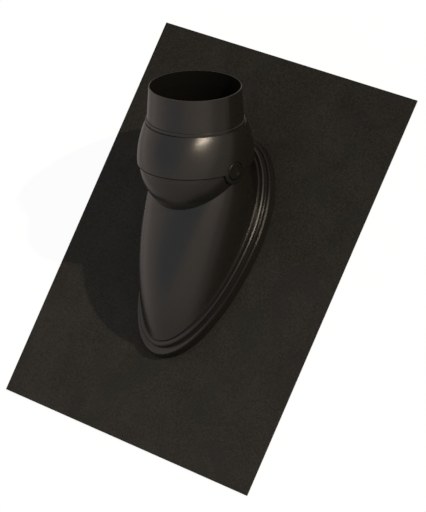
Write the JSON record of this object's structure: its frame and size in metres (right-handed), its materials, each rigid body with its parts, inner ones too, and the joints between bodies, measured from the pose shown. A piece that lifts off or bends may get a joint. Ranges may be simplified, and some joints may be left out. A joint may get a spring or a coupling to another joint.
{
  "type": "roof penetration tile",
  "caption": "Flat flashing sheet with a stepped oval plinth, a leaning tube and a swivelling ball-shaped hood whose collar takes a flue or vent pipe through a pitched roof.",
  "frame": {"origin": "middle of the flashing sheet's underside", "axes": "+Z out of the roof, +Y up the roof along the sheet's long side, +X level along the roof"},
  "size_m": [0.5, 0.6, 0.2149],
  "materials": {
    "sheet": "fine grain",
    "base": "satin",
    "hood": "satin"
  },
  "bodies": {
    "tile": {"flashing_sheet": "sheet", "base_shell": "base"},
    "hood": {"swivel_hood": "hood"}
  },
  "joints": [
    {"name": "hood_swivel", "type": "hinge", "parent": "tile", "child": "hood", "pos_m": [0, 0.1114, 0.0995], "axis": [1, 0, 0], "range_deg": [0, 30]}
  ]
}
